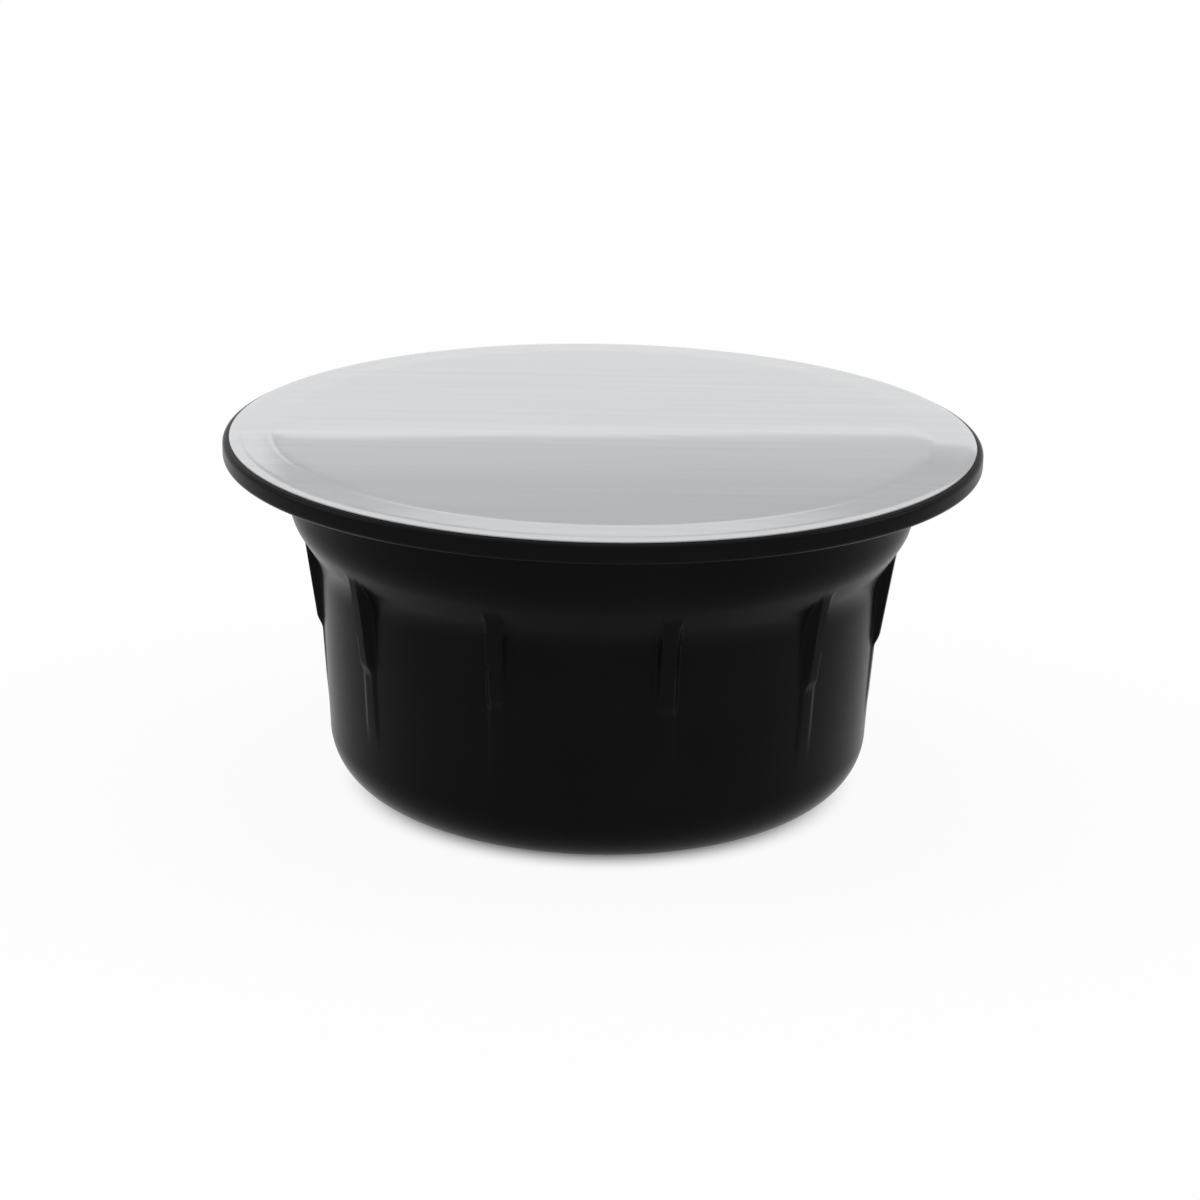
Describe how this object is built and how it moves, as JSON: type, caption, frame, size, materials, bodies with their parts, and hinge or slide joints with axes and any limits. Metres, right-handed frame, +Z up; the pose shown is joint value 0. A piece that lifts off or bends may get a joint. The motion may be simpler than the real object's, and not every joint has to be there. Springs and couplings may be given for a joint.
{
  "type": "coffee pod",
  "caption": "Sealed single-serve coffee pod: round moulded cup with a wide flange, ribs under its shoulder and a film lid sealed on top.",
  "frame": {"origin": "centre of the foot ring, on the surface the pod stands on", "axes": "+Z up along the pod's axis, from the foot to the film lid; -Y is the side that faces the picture's camera"},
  "size_m": [0.045, 0.045, 0.0217],
  "materials": {
    "moulded_cup": "injection-moulded black polypropylene, glossy",
    "lid_film": "pale laminated lidding film, semi-gloss, heat-sealed and bare"
  },
  "bodies": {
    "root": {"cup": "moulded_cup", "lid_film": "lid_film"}
  },
  "joints": []
}
